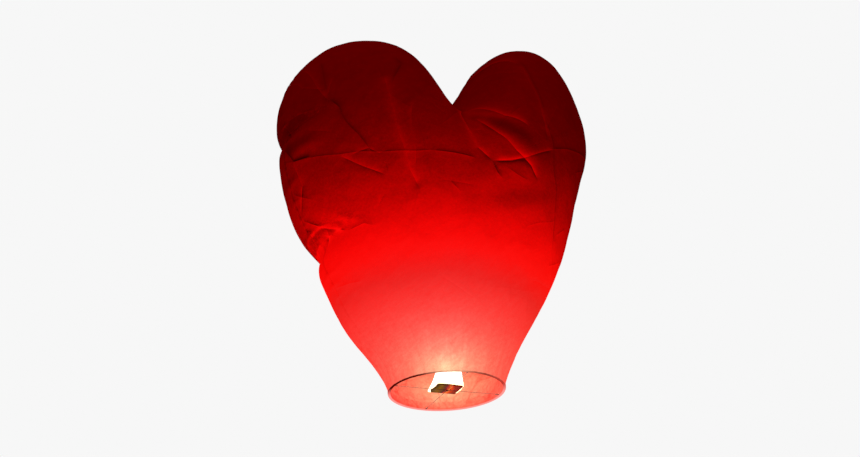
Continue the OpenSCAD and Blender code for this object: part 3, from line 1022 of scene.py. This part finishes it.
def steel(name, heat):
    """Drawn steel wire, blued and sooty towards the flame."""
    n = Nodes(name)
    where = n.place()
    dirt = n.noise(where, 260.0, 4.0, 0.65)
    bare = n.ramp(dirt, [(0.3, (0.20, 0.12, 0.10)), (0.65, (0.40, 0.27, 0.24))])
    scorched = n.ramp(dirt, [(0.3, (0.05, 0.018, 0.012)), (0.7, (0.16, 0.075, 0.065))])
    near = n.spread(n.radius(where), 0.02, 0.02 + heat, 1.0, 0.0)
    colour = n.mix(near, bare, scorched)
    draw = n.noise(n.scaled(where, (1, 1, 8)), 700.0, 2.0)
    normal = n.bump(draw, 0.0002, 0.5)
    return n.set(base=colour, metal=0.9, rough=n.spread(dirt, 0.3, 0.7, 0.32, 0.55), normal=normal)


def waxed_board():
    """Wax-soaked kraft board, charred at its edges, with an ember glowing through its underside."""
    n = Nodes("waxed_board")
    where = n.place()
    x, y, z = n.split(where)
    fibre = n.noise(n.scaled(where, (1, 6, 6)), 260.0, 4.0, 0.65)
    soaked = n.noise(where, 55.0, 4.0, 0.6)
    kraft = n.ramp(fibre, [
        (0.25, (0.030, 0.012, 0.001)), (0.6, (0.07, 0.030, 0.003)), (0.85, (0.10, 0.046, 0.006)),
    ])
    wax = n.mix(n.spread(soaked, 0.42, 0.62), kraft, (0.030, 0.008, 0.001))
    w, d = CELL_HIGH[:2]
    edge_x = n.math("SUBTRACT", w, n.math("ABSOLUTE", x))
    edge_y = n.math("SUBTRACT", d, n.math("ABSOLUTE", y))
    ragged = n.spread(n.noise(where, 180.0, 3.0), 0.2, 0.8, -0.004, 0.004)
    rim = n.plus(n.math("MINIMUM", edge_x, edge_y), ragged)
    char = n.spread(rim, 0.0005, 0.006, 1.0, 0.0)
    upper = n.spread(z, CELL_LOW[2] + 0.003, CELL_LOW[2] + 0.0075)
    char = n.math("MAXIMUM", n.times(char, 0.75), n.times(upper, 0.9))
    colour = n.mix(char, wax, (0.010, 0.006, 0.004))
    wavy = n.spread(n.noise(where, 30.0, 2.0, 0.5, 0.8), 0.25, 0.75, -0.007, 0.007)
    band = n.plus(x, n.times(y, -0.10), wavy)
    ember = n.ramp(n.spread(band, -w, w), [
        (0.00, (0.060, 0.025, 0.0)), (0.20, (0.190, 0.072, 0.0)), (0.36, (0.100, 0.022, 0.004)),
        (0.43, (0.130, 0.0, 0.020)), (0.50, (0.80, 0.050, 0.004)), (0.58, (1.0, 0.20, 0.020)),
        (0.65, (0.80, 0.045, 0.0)), (0.74, (0.32, 0.006, 0.0)), (1.00, (0.190, 0.0, 0.002)),
    ])
    under = n.spread(z, CELL_LOW[2] + 0.0010, CELL_LOW[2] + 0.0024, 1.0, 0.0)
    uneven = n.grey(n.spread(fibre, 0.3, 0.7, 0.75, 1.2))
    glow = n.mix(under, (0.0, 0.0, 0.0), n.mix(1.0, ember, uneven, "MULTIPLY"))
    height = n.plus(fibre, n.times(soaked, 1.2))
    normal = n.bump(height, 0.0006, 0.8)
    rough = n.spread(soaked, 0.4, 0.65, 0.75, 0.50)
    return n.set(base=colour, rough=rough, normal=normal, glow=glow, strength=1.0, specular=0.05)


def fire():
    """White-hot below, yellow and then orange where the tongues thin out."""
    n = Nodes("fire")
    where = n.place()
    wave = n.noise(n.scaled(where, (1, 1, 0.35)), 60.0, 3.0)
    up = n.plus(n.split(where)[2], n.spread(wave, 0.3, 0.7, -0.012, 0.012))
    colour = n.ramp(n.spread(up, 0.012, 0.165), [
        (0.0, (1.0, 0.72, 0.40)), (0.10, (1.0, 0.96, 0.86)), (0.50, (1.0, 0.93, 0.74)),
        (0.72, (1.0, 0.66, 0.26)), (1.0, (1.0, 0.24, 0.03)),
    ])
    glow = n.mix(1.0, colour, (3.0, 3.0, 3.0), "MULTIPLY")
    return n.set(base=(0.9, 0.55, 0.2), rough=0.9, specular=0.0, glow=glow, strength=1.0)


def pale_floor():
    n = Nodes("pale_floor")
    speck = n.noise(n.place(), 3.0, 4.0)
    colour = n.ramp(speck, [(0.3, (0.80, 0.80, 0.79)), (0.7, (0.84, 0.84, 0.83))])
    return n.set(base=colour, rough=0.9, specular=0.1)


def dress(nodes, material):
    """Gives CAD nodes that stay in view their finish."""
    for name in nodes:
        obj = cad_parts[name]
        obj.data.materials.clear()
        obj.data.materials.append(material)


# ------------------------ room, light and camera


FLOOR_HALF, FLOOR_Z = 60.0, -6.4  # a wide floor, far below the lantern in flight


def make_room():
    world = bpy.data.worlds.new("room")
    world.use_nodes = True
    background = world.node_tree.nodes["Background"]
    background.inputs[0].default_value = (*PALE, 1)
    background.inputs[1].default_value = 1.0
    bpy.context.scene.world = world
    corners = [(x * FLOOR_HALF, y * FLOOR_HALF, FLOOR_Z) for x, y in ((-1, -1), (1, -1), (1, 1), (-1, 1))]
    floor = new_object("floor", corners, [(0, 1, 2, 3)], pale_floor(), False)


def make_lights():
    soft = bpy.data.lights.new("soft_key", "AREA")
    soft.energy, soft.size = 60, 3.0
    key = bpy.data.objects.new("soft_key", soft)
    key.location = (-2.6, -3.2, 2.8)
    key.rotation_euler = (Vector((0, 0, 0.5)) - key.location).to_track_quat("-Z", "Y").to_euler()
    inner = bpy.data.lights.new("flame_light", "POINT")
    inner.energy, inner.color, inner.shadow_soft_size = 2.5, (1.0, 0.72, 0.42), 0.03
    burn = bpy.data.objects.new("flame_light", inner)
    burn.location = (0, 0, CELL_HIGH[2] + 0.17)
    for light in (key, burn):
        bpy.context.scene.collection.objects.link(light)


AZIMUTH, ELEVATION, ROLL = math.radians(-23.0), math.radians(-23.4), math.radians(3.3)
DISTANCE = 6.29
VIEW_WIDTH = 2.24  # what the picture takes in at the target
TARGET = Vector((0, 0, 0.45))
AIM = (0.019, -0.001)  # how far the target sits right of and below the picture's middle


def make_camera():
    back = Vector((
        math.sin(AZIMUTH) * math.cos(ELEVATION),
        -math.cos(AZIMUTH) * math.cos(ELEVATION),
        math.sin(ELEVATION),
    ))
    level = Vector((math.cos(AZIMUTH), math.sin(AZIMUTH), 0))
    upright = back.cross(level)
    right = level * math.cos(ROLL) - upright * math.sin(ROLL)
    up = level * math.sin(ROLL) + upright * math.cos(ROLL)
    data = bpy.data.cameras.new("camera")
    data.sensor_width = 36.0
    data.lens = data.sensor_width * DISTANCE / VIEW_WIDTH
    data.clip_start, data.clip_end = 0.1, 200
    camera = bpy.data.objects.new("camera", data)
    place = TARGET + back * DISTANCE - right * AIM[0] - up * AIM[1]
    camera.matrix_world = Matrix.Translation(place) @ Matrix((right, up, back)).transposed().to_4x4()
    bpy.context.scene.collection.objects.link(camera)
    bpy.context.scene.camera = camera


# ------------------------ the lantern


def main():
    make_camera()
    tissue, hem_tissue = paper(), hem_paper()
    front = Panel(-1, FRONT_FOLDS + stray_folds(45, 3), FRONT_SWELLS)
    front = make_panel("front_sheet", "front_panel", front, tissue)
    back = Panel(1, BACK_FOLDS + stray_folds(60, 4), BACK_SWELLS)
    back = make_panel("back_sheet", "back_panel", back, tissue)
    hem = make_hem(hem_tissue)
    board = waxed_board()
    for number in range(1, 5):
        make_board(number, board)
    make_flame(fire())
    dress(["bamboo_ring"], bamboo())
    dress(["cross_wire_a", "cross_wire_b"], steel("drawn_wire", 0.09))
    dress(["fuel_fork", "centre_tie"], steel("scorched_wire", 0.3))
    dress(["splice_binding_1", "splice_binding_2"], steel("binding_wire", 0.05))
    make_room()
    make_lights()
    view = bpy.context.scene.view_settings
    view.view_transform, view.look = "Standard", "None"


main()
bpy.context.view_layer.update()
